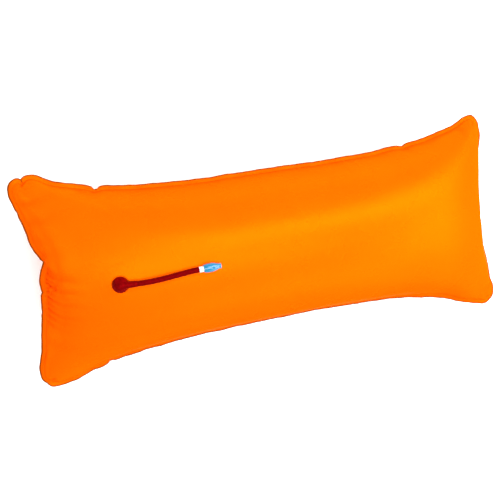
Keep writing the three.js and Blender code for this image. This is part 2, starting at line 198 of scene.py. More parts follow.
class Finish:
    """A material with a Principled shader, and short ways to add nodes to it."""

    def __init__(self, name, colour, roughness, **fixed):
        self.material = bpy.data.materials.new(name)
        self.material.use_nodes = True
        self.tree = self.material.node_tree
        self.shader = self.tree.nodes["Principled BSDF"]
        self.shader.inputs["Base Color"].default_value = (*colour, 1)
        self.shader.inputs["Roughness"].default_value = roughness
        for socket, value in fixed.items():
            self.shader.inputs[socket.replace("_", " ")].default_value = value

    def node(self, kind, inputs, output=0, **settings):
        """Adds a node, sets or links its inputs, and gives one of its outputs."""
        node = self.tree.nodes.new(kind)
        for name, value in settings.items():
            setattr(node, name, value)
        for socket, value in inputs.items():
            if isinstance(value, bpy.types.NodeSocket):
                self.tree.links.new(value, node.inputs[socket])
            else:
                node.inputs[socket].default_value = value
        return node.outputs[output]

    def feed(self, socket, output):
        self.tree.links.new(output, self.shader.inputs[socket])

    def math(self, operation, a, b=0.0):
        return self.node("ShaderNodeMath", {0: a, 1: b}, operation=operation)

    def noise(self, scale, detail=3.0, roughness=0.55):
        """A noise value about 0.5, by place in metres."""
        place = self.node("ShaderNodeTexCoord", {}, "Object")
        inputs = {"Vector": place, "Scale": scale, "Detail": detail, "Roughness": roughness}
        return self.node("ShaderNodeTexNoise", inputs, "Fac")

    def ranged(self, value, low, high, to_low, to_high):
        """A value carried from one range to another, and held within it."""
        inputs = {0: value, 1: low, 2: high, 3: to_low, 4: to_high}
        return self.node("ShaderNodeMapRange", inputs)

    def blended(self, share, first, second):
        """A colour between two colours, each given as three numbers or an output."""
        inputs = {0: share}
        for socket, colour in ((6, first), (7, second)):
            plain = not isinstance(colour, bpy.types.NodeSocket)
            inputs[socket] = (*colour, 1) if plain else colour
        return self.node("ShaderNodeMix", inputs, 2, data_type="RGBA")

    def bump(self, height, distance, strength=1.0, under=None):
        inputs = {"Height": height, "Distance": distance, "Strength": strength}
        if under:
            inputs["Normal"] = under
        return self.node("ShaderNodeBump", inputs, "Normal")

    def cloudy(self, scale, first, second):
        """Feeds a colour that drifts in soft clouds from one to another."""
        clouds = self.ranged(self.noise(scale), 0.35, 0.65, 0.0, 1.0)
        self.feed("Base Color", self.blended(clouds, first, second))

    def grainy(self, scale, height, strength):
        """Feeds a fine uneven surface."""
        self.feed("Normal", self.bump(self.noise(scale, 2), height, strength))


FABRIC_ORANGE = (0.92, 0.105, 0.0)
FABRIC_DEEP = (0.80, 0.080, 0.0)
FABRIC_PALE = (1.0, 0.20, 0.004)
# Painted crease shade: the darker orange put into the valleys of creases.
FABRIC_CREASE_SHADE = (0.66, 0.045, 0.0)
# Painted edge shade: a near-black brown drawn along the weld's outer edge.
FABRIC_EDGE_SHADE = (0.13, 0.038, 0.002)
SATIN_TINT = (1.0, 0.40, 0.0, 1)
THREAD_PITCH = 1.1 * MM
WELD_PITCH = 2.6 * MM


def fabric_finish():
    """Coated nylon: a fine weave under a satin coat, a pressed diamond pattern on the weld; painted
    shade in the creases, over the weld and along its outer edge.
    """
    gloss = {"Specular_IOR_Level": 0.0, "Specular_Tint": SATIN_TINT, "Metallic": 0.2}
    finish = Finish("coated_fabric", FABRIC_ORANGE, 0.3, **gloss)
    weld = finish.node("ShaderNodeAttribute", {}, "Fac", attribute_name="weld")
    rim = finish.node("ShaderNodeAttribute", {}, "Fac", attribute_name="rim")
    crease_shade = finish.node("ShaderNodeAttribute", {}, "Fac", attribute_name="crease_shade")
    cut = finish.node("ShaderNodeUVMap", {}, uv_map="cut")
    axes = finish.node("ShaderNodeSeparateXYZ", {0: cut}).node
    along, across = axes.outputs[0], axes.outputs[1]

    def ripple(place, pitch):
        return finish.math("SINE", finish.math("MULTIPLY", place, 2 * math.pi / pitch))

    weave = finish.math("MULTIPLY", ripple(along, THREAD_PITCH), ripple(across, THREAD_PITCH))
    diagonals = [finish.math(step, along, across) for step in ("ADD", "SUBTRACT")]
    diamonds = finish.math("MULTIPLY", *[ripple(d, 2 * WELD_PITCH) for d in diagonals])
    pressed = finish.math("MULTIPLY", finish.math("ABSOLUTE", diamonds), weld)

    clouds = finish.ranged(finish.noise(7), 0.35, 0.65, 0.0, 1.0)
    mottle = finish.ranged(finish.noise(260, 4), 0.3, 0.7, 0.0, 0.35)
    colour = finish.blended(finish.math("MULTIPLY", clouds, 0.30), FABRIC_ORANGE, FABRIC_DEEP)
    colour = finish.blended(mottle, colour, FABRIC_DEEP)
    # Painted shade: crease valleys are painted towards a darker orange, by how deep they sink.
    colour = finish.blended(crease_shade, colour, FABRIC_CREASE_SHADE)
    threads = finish.ranged(weave, -1, 1, 0.0, 0.12)
    colour = finish.blended(threads, colour, FABRIC_PALE)
    # Painted shade: the weld is blended halfway to the deep orange, so that, facing upwards, it
    # shows no brighter than the steeper panel beside it.
    colour = finish.blended(finish.math("MULTIPLY", weld, 0.5), colour, FABRIC_DEEP)
    scuffs = finish.ranged(finish.noise(90, 5, 0.7), 0.42, 0.62, 0.25, 1.0)
    worn = finish.math("MULTIPLY", finish.math("POWER", rim, 3.0), scuffs)
    colour = finish.blended(finish.math("MULTIPLY", worn, 0.2), colour, FABRIC_PALE)
    # Painted shade: a dark outline along the weld's outer edge.
    edge_shade = finish.ranged(rim, 0.56, 0.82, 0.0, 0.9)
    colour = finish.blended(edge_shade, colour, FABRIC_EDGE_SHADE)
    finish.feed("Base Color", colour)

    patchy = finish.ranged(finish.noise(16, 4), 0.35, 0.65, 0.24, 0.31)
    finish.feed("Roughness", finish.math("ADD", patchy, finish.math("MULTIPLY", worn, 0.2)))
    normal = finish.bump(finish.noise(700, 3), 0.06 * MM, 0.5)
    normal = finish.bump(weave, 0.04 * MM, 0.6, normal)
    finish.feed("Normal", finish.bump(pressed, 0.25 * MM, 0.8, normal))
    return finish.material


RUBBER_TINT = (1.0, 0.2, 0.2, 1)


def rubber_finish(name, dark, light, roughness):
    """Moulded soft PVC: a fine satin grain, cloudy colour and faint scuffs."""
    gloss = {"Specular_IOR_Level": 0.02, "Specular_Tint": RUBBER_TINT, "Metallic": 0.12}
    finish = Finish(name, dark, roughness, **gloss)
    clouds = finish.ranged(finish.noise(120, 4), 0.35, 0.65, 0.0, 0.7)
    colour = finish.blended(clouds, dark, light)
    scuffs = finish.ranged(finish.noise(480, 6, 0.7), 0.60, 0.72, 0.0, 0.35)
    colour = finish.blended(scuffs, colour, [1.5 * c + 0.002 for c in light])
    finish.feed("Base Color", colour)
    patchy = finish.ranged(finish.noise(220, 4), 0.3, 0.7, roughness - 0.07, roughness + 0.1)
    finish.feed("Roughness", patchy)
    normal = finish.bump(finish.noise(2600, 2), 0.05 * MM, 0.5)
    finish.feed("Normal", finish.bump(finish.noise(160, 2), 0.3 * MM, 0.25, normal))
    return finish.material


def nylon_finish():
    """White moulded nylon, a little yellow and waxy."""
    waxy = {"Subsurface_Weight": 0.15, "Subsurface_Scale": 2 * MM}
    finish = Finish("white_nylon", (0.86, 0.86, 0.84), 0.34, **waxy)
    finish.cloudy(150, (0.88, 0.88, 0.86), (0.82, 0.81, 0.77))
    finish.feed("Roughness", finish.ranged(finish.noise(300, 3), 0.3, 0.7, 0.28, 0.42))
    finish.grainy(1800, 0.03 * MM, 0.4)
    return finish.material


def barrel_finish():
    """Glossy light blue plastic that lets some light through."""
    glossy = {"IOR": 1.49, "Transmission_Weight": 0.18, "Coat_Weight": 0.4, "Coat_Roughness": 0.06}
    finish = Finish("blue_plastic", (0.010, 0.19, 0.37), 0.12, **glossy)
    finish.cloudy(110, (0.008, 0.18, 0.35), (0.015, 0.22, 0.42))
    finish.feed("Roughness", finish.ranged(finish.noise(420, 4), 0.35, 0.7, 0.09, 0.2))
    finish.grainy(260, 0.08 * MM, 0.2)
    return finish.material


def seal_finish():
    finish = Finish("seal_rubber", (0.02, 0.02, 0.02), 0.6)
    finish.cloudy(900, (0.015, 0.015, 0.015), (0.04, 0.04, 0.04))
    finish.grainy(3000, 0.02 * MM, 0.5)
    return finish.material


def steel_finish():
    finish = Finish("spring_steel", (0.60, 0.61, 0.62), 0.25, Metallic=1.0)
    streaks = finish.ranged(finish.noise(1200, 4), 0.35, 0.65, 0.18, 0.36)
    finish.feed("Roughness", streaks)
    tarnish = finish.ranged(finish.noise(500, 3), 0.4, 0.7, 0.0, 0.5)
    finish.feed("Base Color", finish.blended(tarnish, (0.62, 0.63, 0.64), (0.42, 0.40, 0.37)))
    finish.grainy(4000, 0.01 * MM, 0.4)
    return finish.material


# ---- Meshes ----


def make_piece(name, node, verts, faces, material, body="bag"):
    """A smooth mesh object with one material that stands for a CAD node, whose part it hides, and
    rides on a body.
    """
    mesh = bpy.data.meshes.new(name)
    mesh.from_pydata([tuple(v) for v in verts], [], [tuple(f) for f in faces])
    mesh.update()
    mesh.polygons.foreach_set("use_smooth", [True] * len(mesh.polygons))
    mesh.materials.append(material)
    piece = add_object(name, mesh)
    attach(piece, body)
    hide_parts(node)
    return piece


def applied(piece):
    """Makes a piece's modifiers part of its mesh."""
    shown = piece.evaluated_get(bpy.context.evaluated_depsgraph_get())
    mesh = bpy.data.meshes.new_from_object(shown)
    piece.modifiers.clear()
    old = piece.data
    piece.data = mesh
    bpy.data.meshes.remove(old)


def faces_outwards(piece, merged=0):
    """Turns a closed mesh's faces outwards; points closer than merged become one first."""
    work = bmesh.new()
    work.from_mesh(piece.data)
    if merged:
        bmesh.ops.remove_doubles(work, verts=work.verts, dist=merged)
    bmesh.ops.recalc_face_normals(work, faces=work.faces)
    work.to_mesh(piece.data)
    work.free()


def smoothstep(value, low, high):
    share = np.clip((value - low) / (high - low), 0, 1)
    return share * share * (3 - 2 * share)


# ---- Blown-up panels ----


def rounded_corner(x, y, half_x, half_y, radius):
    """Moves points of a rectangle's corner squares on to round corners."""
    past_x = np.abs(x) - (half_x - radius)
    past_y = np.abs(y) - (half_y - radius)
    in_corner = (past_x > 0) & (past_y > 0)
    reach = np.where(in_corner, np.hypot(past_x, past_y), 1)
    pull = np.where(in_corner, np.maximum(past_x, past_y) / reach, 1)
    round_x = np.sign(x) * (half_x - radius + past_x * pull)
    round_y = np.sign(y) * (half_y - radius + past_y * pull)
    return np.where(in_corner, round_x, x), np.where(in_corner, round_y, y)


def pillow(u, v):
    """The blown-up front panel's points, above the weld's plane; u and v run from -1 to 1."""
    half_x, half_y = SEAM_HALF_LENGTH, CORNER_HALF_WIDTH
    x, y = rounded_corner(u * half_x, v * half_y, half_x, half_y, CORNER_RADIUS)
    plan_u, plan_v = x / half_x, y / half_y
    reach = np.abs(plan_u)
    squareness = reach**SQUARING
    half_width = WAIST_HALF_WIDTH + (CORNER_HALF_WIDTH - WAIST_HALF_WIDTH) * reach**WIDENING
    dip = END_DIP * (1 - plan_v**2) * reach**WIDENING
    across = np.sin(plan_v * math.pi / 2) * (1 - squareness) + plan_v * squareness
    rise = np.sqrt(np.clip(1 - np.abs(u) ** HEIGHT_FALL, 0, 1))
    arch = np.clip(np.cos(v * math.pi / 2), 0, 1) ** (1 - END_FLATTENING * np.abs(u) ** SQUARING)
    height = WELD_FACE + (CROWN - WELD_FACE) * rise * arch
    return np.stack([plan_u * (SEAM_HALF_LENGTH - dip), half_width * across, height], -1)


def crown_shares():
    """Even shares of the half length, and the shares of the crown line's length up to them."""
    shares = np.linspace(0, 1, 2001)
    line = pillow(shares, shares * 0)
    steps = np.linalg.norm(np.diff(line, axis=0), axis=1)
    lengths = np.concatenate([[0], np.cumsum(steps)])
    return shares, lengths / lengths[-1]


def laid_on_pillow(along, across):
    """Pillow points for places on the flat cloth; cloth along the crown keeps its length."""
    u, v = along / (CLOTH_LENGTH / 2), across / (CLOTH_WIDTH / 2)
    shares, lengths = crown_shares()
    by_length = np.sign(u) * np.interp(np.abs(u), lengths, shares)
    at_edge = v * v
    return pillow(np.clip(by_length * (1 - at_edge) + u * at_edge, -1, 1), v)


def cloth_cut(along, across):
    """Places on the flat cloth, with its corners cut round."""
    return rounded_corner(along, across, CLOTH_LENGTH / 2, CLOTH_WIDTH / 2, CLOTH_CORNER)


def grid_cells(number):
    """The corners of each cell of a grid, given the grid's point numbers."""
    cells = np.stack([number[:-1, :-1], number[1:, :-1], number[1:, 1:], number[:-1, 1:]], -1)
    return cells.reshape(-1, 4)


def joined_cloths(along, across):
    """The two panels as one mesh on the pillow, its flat cut, and the numbers of their points."""
    shape = laid_on_pillow(along, across)
    front = np.arange(along.size).reshape(along.shape)
    edge = np.zeros(along.shape, bool)
    edge[[0, -1], :] = True
    edge[:, [0, -1]] = True
    shape[edge, 2] = 0
    back = np.where(edge, front, along.size + np.cumsum(~edge).reshape(along.shape) - 1)
    flat = np.stack([*cloth_cut(along, across), 0 * along], -1)
    points = np.concatenate([shape.reshape(-1, 3), shape[~edge] * (1, 1, -1)])
    flat_points = np.concatenate([flat.reshape(-1, 3), flat[~edge]])
    faces = np.stack([grid_cells(front), grid_cells(back)[:, ::-1]], 1).reshape(-1, 4)
    mesh = bpy.data.meshes.new("blowing_up")
    mesh.from_pydata(points.tolist(), [], faces.tolist())
    return mesh, flat_points, front, back


def blow_up(along, across):
    """Front and back grids of the two panels, blown up as cloth from their flat cut."""
    mesh, flat_points, front, back = joined_cloths(along, across)
    bag = add_object("blowing_up", mesh)
    bag.shape_key_add(name="Basis")
    cut = bag.shape_key_add(name="cut")
    cut.data.foreach_set("co", flat_points.ravel())
    cloth = bag.modifiers.new("cloth", "CLOTH")
    cloth.settings.rest_shape_key = cut
    for name, value in CLOTH_SETTINGS.items():
        setattr(cloth.settings, name, value)
    cloth.settings.effector_weights.gravity = 0
    cloth.collision_settings.use_collision = False
    cloth.point_cache.frame_end = SIM_FRAMES
    for number in range(1, SIM_FRAMES + 1):
        bpy.context.scene.frame_set(number)
    blown = bag.evaluated_get(bpy.context.evaluated_depsgraph_get())
    points = np.zeros(len(blown.data.vertices) * 3)
    blown.data.vertices.foreach_get("co", points)
    points = points.reshape(-1, 3)
    bpy.data.objects.remove(bag)
    bpy.data.meshes.remove(mesh)
    bpy.context.scene.frame_set(1)
    return points[front], points[back]


FORM_KEPT = 0.55  # how much of the blown cloth's broad form is taken
CREASES_KEPT = 1.25  # and how much of its creases
BROAD_CELLS = 4  # what is wider than this many cells is broad form
FORM_FADE = 40 * MM  # nearer to the weld than this, the broad form fades out


def blurred(grid, cells):
    """A grid of values smoothed over some cells both ways."""
    reach = 3 * cells
    weights = np.exp(-0.5 * (np.arange(-reach, reach + 1) / cells) ** 2)
    weights /= weights.sum()
    for axis in (0, 1):
        count = grid.shape[axis]
        padding = [(reach, reach) if k == axis else (0, 0) for k in range(grid.ndim)]
        padded = np.pad(grid, padding, mode="reflect", reflect_type="odd")
        grid = sum(
            w * padded.take(np.arange(k, k + count), axis=axis) for k, w in enumerate(weights)
        )
    return grid


def cloth_changes():
    """How blown-up cloth departs from the pillow formula, on a regular grid for each panel."""
    along = np.linspace(-0.5, 0.5, 2 * round(CLOTH_LENGTH / SIM_CELL / 2) + 1) * CLOTH_LENGTH
    across = np.linspace(-0.5, 0.5, 2 * round(CLOTH_WIDTH / SIM_CELL / 2) + 1) * CLOTH_WIDTH
    along, across = np.meshgrid(along, across, indexing="ij")
    shape = laid_on_pillow(along, across)
    changes = []
    for blown, side in zip(blow_up(along, across), (1, -1)):
        blown = blown * (1, 1, side)
        fit = shape.max((0, 1)) / blown.max((0, 1))
        change = blown * fit - shape
        broad = blurred(change, BROAD_CELLS)
        to_weld = np.minimum(CLOTH_LENGTH / 2 - np.abs(along), CLOTH_WIDTH / 2 - np.abs(across))
        inside = 1 - 0.8 * np.exp(-((to_weld / FORM_FADE) ** 2))
        broad_kept = broad * FORM_KEPT * inside[..., None]
        change = broad_kept + (change - broad) * CREASES_KEPT
        change[[0, -1], :, 2] = 0
        change[:, [0, -1], 2] = 0
        changes.append(change)
    return changes


def resampled(rows, places):
    """Smooth values of a row of points at fractional places along it."""
    last = len(rows) - 1
    index = np.clip(np.floor(places).astype(int), 0, last - 1)
    share = (places - index).reshape(-1, *[1] * (rows.ndim - 1))
    padded = np.concatenate([[2 * rows[0] - rows[1]], rows, [2 * rows[-1] - rows[-2]]])
    a, b, c, d = (padded[index + k] for k in range(4))
    return b + 0.5 * share * (
        c - a + share * (2 * a - 5 * b + 4 * c - d + share * (3 * (b - c) + d - a))
    )


def on_lines(grid, along, across):
    """A regular cloth grid's values where fine lines cross."""
    rows, columns = grid.shape[:2]
    grid = resampled(grid, (along / CLOTH_LENGTH + 0.5) * (rows - 1)).swapaxes(0, 1)
    return resampled(grid, (across / CLOTH_WIDTH + 0.5) * (columns - 1)).swapaxes(0, 1)


def graded(start, stop, steps):
    """Places from start to stop; their spacing follows steps, given at even shares of the way."""
    length = stop - start
    shares = np.linspace(0, 1, len(steps))
    places = [0.0]
    while places[-1] < length:
        places.append(places[-1] + np.interp(places[-1] / length, shares, steps))
    places = np.array(places)
    return start + places * length / places[-1]


class BootPlace:
    """Where the boot stands: its frame on the fabric, and its place on the flat cloth."""

    def __init__(self):
        step = 0.005
        places = pillow(BOOT_STATION + step * np.array([-1.0, 0, 1]), np.zeros(3))
        foot = Vector(places[1]) + Vector((0, 0, SEAM_HEIGHT))
        slope = Vector(places[2] - places[0]).normalized()
        tilt = Matrix.Rotation(-math.atan2(slope.z, slope.x), 4, "Y")
        self.matrix = Matrix.Translation(foot) @ tilt
        shares, lengths = crown_shares()
        self.along = -np.interp(-BOOT_STATION, shares, lengths) * CLOTH_LENGTH / 2
        gap = 1 * MM
        near = laid_on_pillow(
            self.along + gap * np.array([0.0, 1, 0]), gap * np.array([0.0, 0, 1])
        )
        self.stretch = np.linalg.norm(near[1:] - near[0], axis=1) / gap

    def local(self, along, across):
        """Distances from the boot's foot along the fabric, in metres."""
        return (along - self.along) * self.stretch[0], across * self.stretch[1]


# Shifts of the weld: a place in metres on the flat cloth, the shift along X, Y and Z there, and how
# far it reaches, both in millimetres.
WELD_SHIFTS = [
    ((-0.490, 0.046), (9.0, 0, 0), 44),
    ((-0.490, 0.041), (6.0, 0, 1.2), 17),
    ((-0.490, -0.030), (2.8, 0, 0), 26),
    ((-0.490, -0.012), (-1.6, 0, 0), 8),
    ((-0.490, -0.056), (-0.8, 0, -1.0), 7),
    ((-0.490, -0.105), (-2.4, 0, 0.6), 22),
    ((-0.490, -0.164), (-5.8, 0, 0), 34),
    ((-0.488, -0.204), (4.4, 4.4, 0), 18),
    ((-0.472, -0.210), (0, 2.0, 0), 8),
    ((-0.428, -0.210), (0, -4.4, 0), 30),
    ((-0.490, 0.080), (-3.2, 0, 0), 16),
    ((-0.490, 0.135), (-2.4, 0, 0.8), 24),
    ((-0.490, 0.174), (-6.8, 0, -1.5), 25),
    ((-0.474, 0.209), (3.5, -8.0, 0), 7),
    ((-0.448, 0.210), (0, 6.2, 1.0), 19),
    ((-0.341, 0.210), (0, -3.0, -1.5), 9),
    ((-0.346, 0.210), (0, -2.8, 0), 28),
    ((-0.275, 0.210), (0, -1.5, 0), 40),
    ((-0.083, 0.210), (0, 1.4, 0), 15),
    ((0.020, 0.210), (0, 3.0, 0), 110),
    ((0.165, 0.210), (0, 1.3, 0), 36),
    ((0.268, 0.210), (0, 1.2, 0.5), 14),
    ((0.301, 0.210), (0, -2.6, 1.2), 10),
    ((0.350, 0.210), (0, -2.2, 0), 28),
    ((0.428, 0.210), (0, 0.6, 0.8), 13),
    ((0.455, 0.210), (0, 3.4, 0), 17),
    ((0.489, 0.205), (-9.5, 0, 0), 33),
    ((0.490, 0.032), (-7.2, 0, 0), 54),
    ((0.490, -0.086), (1.2, 0, 0), 18),
    ((0.490, -0.125), (7.4, 0, 0), 42),
    ((0.490, -0.180), (6.8, 0, 0), 17),
    ((0.480, -0.206), (1.5, -4.0, 0), 20),
    ((0.455, -0.210), (0, -1.6, 0), 14),
    ((0.424, -0.210), (0, -7.6, 0), 40),
    ((0.250, -0.210), (0, 1.9, 0), 60),
    ((0.170, -0.210), (0, -0.8, -1.0), 10),
    ((0.070, -0.210), (0, 1.4, 0), 70),
    ((-0.120, -0.210), (0, -0.4, 1.0), 12),
    ((-0.142, -0.210), (0, -1.3, 0), 13),
    ((-0.240, -0.210), (0, -1.2, 0), 24),
    ((-0.362, -0.210), (0, 2.0, 1.0), 9),
    ((-0.379, -0.210), (0, -2.0, 0), 10),
]

# Notches in the weld's outer edge: place, share of its width that is lost, and half the length.
WELD_NOTCHES = [
    ((-0.341, 0.210), 0.70, 9 * MM),
    ((0.301, 0.210), 0.55, 8 * MM),
    ((-0.490, 0.043), 0.35, 6 * MM),
    ((-0.490, -0.056), 0.25, 6 * MM),
    ((-0.490, 0.146), 0.15, 5 * MM),
    ((-0.473, 0.209), 0.70, 5 * MM),
    ((-0.362, -0.210), 0.35, 7 * MM),
]

# Creases that run in from the left end's weld: place across in metres, depth, width and length in
# millimetres, and slant.
LEFT_CREASES = [
    (0.040, 3.6, 5.0, 70, -0.24),
    (0.058, 1.6, 7.0, 56, 0.05),
    (0.027, 3.8, 4.0, 82, -0.17),
    (0.014, 3.6, 3.6, 62, -0.14),
    (0.003, 4.4, 4.0, 80, -0.13),
    (-0.009, 3.6, 3.6, 64, -0.12),
    (-0.021, 4.2, 3.8, 76, -0.12),
    (-0.033, 3.4, 3.6, 62, -0.11),
    (-0.045, 4.0, 3.8, 70, -0.11),
    (-0.058, 3.2, 4.0, 62, -0.10),
    (-0.072, 2.2, 5.0, 56, -0.10),
    (-0.110, 1.2, 6.5, 50, -0.05),
    (0.085, 1.2, 7.0, 50, 0.05),
    (0.120, 1.5, 7.0, 60, 0.12),
    (0.158, 1.5, 6.5, 60, 0.20),
]
# Puckers of the +Y weld, by place along it.
PUCKERS = (-0.341, 0.301, 0.428)
CREASE_SEED = 7
# Random creases: how many, how far they go each way from the middle in metres, how far each is off
# its place, its size in millimetres, and its slant: a fan, per metre from the middle, and a tilt.
RIGHT_CREASES = {
    "count": 11, "reach": 0.17, "off": 8, "depths": (0.15, 0.8), "widths": (5, 8),
    "lengths": (22, 40), "fan": 0.9, "tilt": 0.1,
}
SIDE_CREASES = {
    "count": 34, "reach": 0.45, "off": 10, "depths": (0.1, 0.6), "widths": (5, 9),
    "lengths": (14, 30), "fan": 0.5, "tilt": 0.15,
}
PUCKER = (1.4 * MM, 7 * MM, 28 * MM)  # depth, width and length


def weld_shift(along, across):
    """How far the weld and the cloth near it are shifted, as three distances."""
    total = np.zeros((*along.shape, 3))
    for (p, q), shift, reach in WELD_SHIFTS:
        away = ((along - p) ** 2 + (across - q) ** 2) / (reach * MM) ** 2
        total += np.exp(-away)[..., None] * np.array(shift) * MM
    return total


WAVE_HEIGHT = 0.75 * MM
WAVE_FADE = 26 * MM


def weld_waves(along, across):
    """Slow waves of the weld's height, which fade into the panels."""
    to_side = CLOTH_WIDTH / 2 - np.abs(across)
    to_end = CLOTH_LENGTH / 2 - np.abs(along)
    side = np.sin(along * 61 + 1.1 * across + 0.6) + 0.7 * np.sin(along * 108 + 9 * across)
    end = np.sin(across * 74 + 2 * along) + 0.6 * np.sin(across * 131 + 1.9 + 3 * along)
    return WAVE_HEIGHT * (side * np.exp(-to_side / WAVE_FADE) + end * np.exp(-to_end / WAVE_FADE))


def crease(aside, inwards, depth, width, length, slant):
    """One crease that runs in from the weld, wider and shallower as it goes."""
    spread = width * (1 + inwards / (3 * length))
    profile = np.exp(-(((aside - slant * inwards) / spread) ** 2))
    return -depth * profile * smoothstep(inwards, 0, 9 * MM) * np.exp(-((inwards / length) ** 2))


def add_random(
    relief, draw, aside, inwards, count, reach, off, depths, widths, lengths, fan, tilt
):
    """Adds random creases along one side of the weld; they fan out from its middle."""
    for place in np.linspace(-reach, reach, count):
        place += draw.uniform(-off, off) * MM
        depth, width = draw.uniform(*depths) * MM, draw.uniform(*widths) * MM
        length, slant = draw.uniform(*lengths) * MM, fan * place + draw.uniform(-tilt, tilt)
        relief += crease(aside - place, inwards, depth, width, length, slant)


def creases(along, across, seed):
    """The relief of the creases along a panel's welds, below zero where they sink it."""
    to_end = along + CLOTH_LENGTH / 2
    relief = np.zeros(along.shape)
    for place, depth, width, length, slant in LEFT_CREASES:
        relief += crease(across - place, to_end, depth * MM, width * MM, length * MM, slant)
    draw = np.random.default_rng(seed)
    add_random(relief, draw, across, CLOTH_LENGTH / 2 - along, **RIGHT_CREASES)
    for side in (-1, 1):
        add_random(relief, draw, along, CLOTH_WIDTH / 2 - side * across, **SIDE_CREASES)
    for place in PUCKERS:
        relief += crease(along - place, CLOTH_WIDTH / 2 - across, *PUCKER, 0)
    return relief


def facing(points):
    """Unit vectors out of a grid of points."""
    normal = np.cross(np.gradient(points, axis=0), np.gradient(points, axis=1))
    return normal / np.maximum(np.linalg.norm(normal, axis=-1, keepdims=True), 1e-12)


def border_of(grid):
    """A grid's outer values in order round it, counter-clockwise from above."""
    return np.concatenate([grid[:-1, 0], grid[-1, :-1], grid[:0:-1, -1], grid[0, :0:-1]])


WELD_ROWS = [0.08, 0.25, 0.5, 0.75, 0.93, 1.0]  # shares of the weld's width
WAVER = 0.06  # the share by which the weld's width wavers
WAVER_LENGTHS = (0.083, 0.029)  # in metres round the weld
RIPPLE = 0.9 * MM  # height of the ripples at its outer edge
RIPPLE_LENGTH = 0.057
LEFT_DROOP = 3.2 * MM  # how far the left end's weld hangs at its outer edge
CREASE_SHADE_DEPTH = 4.0 * MM  # a crease this deep takes the full painted crease shade


def weld_rows(border, flat):
    """Rows of points over the weld, outside a panel's border, and their places on the cloth."""
    def outwards(loop):
        tangent = np.roll(loop, -1, axis=0) - np.roll(loop, 1, axis=0)
        for _ in range(3):
            before, after = np.roll(tangent, 1, axis=0), np.roll(tangent, -1, axis=0)
            tangent = (before + 2 * tangent + after) / 4
        normal = np.stack([tangent[:, 1], -tangent[:, 0]], -1)
        return normal / np.linalg.norm(normal, axis=1, keepdims=True)

    width = np.full(len(flat), WELD_WIDTH)
    for place, lost, half_length in WELD_NOTCHES:
        near = np.clip(1 - np.linalg.norm(flat - place, axis=1) / half_length, 0, 1)
        width *= 1 - lost * near
    steps = np.linalg.norm(np.roll(flat, -1, axis=0) - flat, axis=1)
    arc = np.concatenate([[0], np.cumsum(steps)[:-1]])
    long_waves, short_waves = (np.sin(arc * 2 * math.pi / length) for length in WAVER_LENGTHS)
    width *= 1 + WAVER * long_waves * short_waves
    droop = RIPPLE * np.sin(arc * 2 * math.pi / RIPPLE_LENGTH + 2 * np.sin(arc * 9))
    droop -= LEFT_DROOP * smoothstep(-flat[:, 0], CLOTH_LENGTH / 2 - 12 * MM, CLOTH_LENGTH / 2)
    rows = []
    for share in WELD_ROWS:
        out = outwards(border[:, :2]) * (width * share)[:, None]
        lift = (droop * share**1.5)[:, None]
        rows.append((
            border + np.concatenate([out, lift], axis=1),
            flat + outwards(flat) * (width * share)[:, None],
            share,
        ))
    return rows


# Steps of each panel's grid from the left end to the boot, from there to the right end, and from
# the middle to each side, at even shares of the way.
FRONT_STEPS = (
    [0.0008, 0.0024, 0.003, 0.004, 0.004, 0.003],
    [0.003, 0.008, *[0.0095] * 12, 0.006, 0.0036, 0.0008],
    [0.003, 0.0034, 0.0034, 0.0036, 0.005, 0.005, 0.004, 0.0022, 0.0008],
)
BACK_STEPS = (
    [0.0008, 0.003, 0.004, 0.006, 0.007, 0.007],
    [0.007, 0.008, *[0.0095] * 12, 0.006, 0.0036, 0.0008],
    [0.0065, 0.0065, 0.0065, 0.006, 0.004, 0.0022, 0.0008],
)


HOLE_BLOCK = 0.88 * HOLE_RADIUS  # half the side of the block of cells that becomes the hole
BOOT_CALM = (40 * MM, 85 * MM)  # creases and the solver's form fade in between these distances
STEP_RISE = 0.45 * MM  # how far the patch and the flange each lift the fabric
STEP_SLOPE = (-2 * MM, 3 * MM)  # where the step begins and ends, from the radius outwards
GROUND_SOFTNESS = 1.2 * MM  # how soft the bend is where the bag meets the ground
TINY = 1e-9


class PanelGrid:
    """The lines of a panel's mesh on the flat cloth: the front, or the back if side is -1."""

    def __init__(self, side, boot):
        half_length, half_width = CLOTH_LENGTH / 2, CLOTH_WIDTH / 2
        block = HOLE_BLOCK / boot.stretch
        inner = np.linspace(-1, 1, 2 * HOLE_CELLS + 1)[1:-1]
        left_steps, right_steps, side_steps = FRONT_STEPS if side > 0 else BACK_STEPS
        left = graded(-half_length, boot.along - block[0], left_steps)
        right = graded(boot.along + block[0], half_length, right_steps)
        side_lines = graded(block[1], half_width, side_steps)
        self.side = side
        self.along_lines = np.concatenate([left, boot.along + inner * block[0], right])
        self.across_lines = np.concatenate([-side_lines[::-1], inner * block[1], side_lines])
        self.along, self.across = np.meshgrid(self.along_lines, self.across_lines, indexing="ij")
        near_x, near_y = boot.local(self.along, self.across)
        self.from_boot = np.hypot(near_x, near_y)
        self.square = np.maximum(np.abs(near_x), np.abs(near_y))
        self.in_hole = (self.square < HOLE_BLOCK - TINY) & (side > 0)
        self.placed = self.along, self.across
        if side > 0:
            self.make_way(boot)

    def make_way(self, boot):
        """Turns the block of cells at the boot into a round hole, and moves what is near it."""
        share = smoothstep(self.square, HOLE_BLOCK, 3 * HOLE_RADIUS)
        ring = HOLE_RADIUS + self.square - HOLE_BLOCK
        target = self.from_boot * share + ring * (1 - share)
        pull = np.where(self.in_hole, 1, target / np.maximum(self.from_boot, TINY))
        self.placed = boot.along + (self.along - boot.along) * pull, self.across * pull
        self.from_boot_placed = self.from_boot * pull


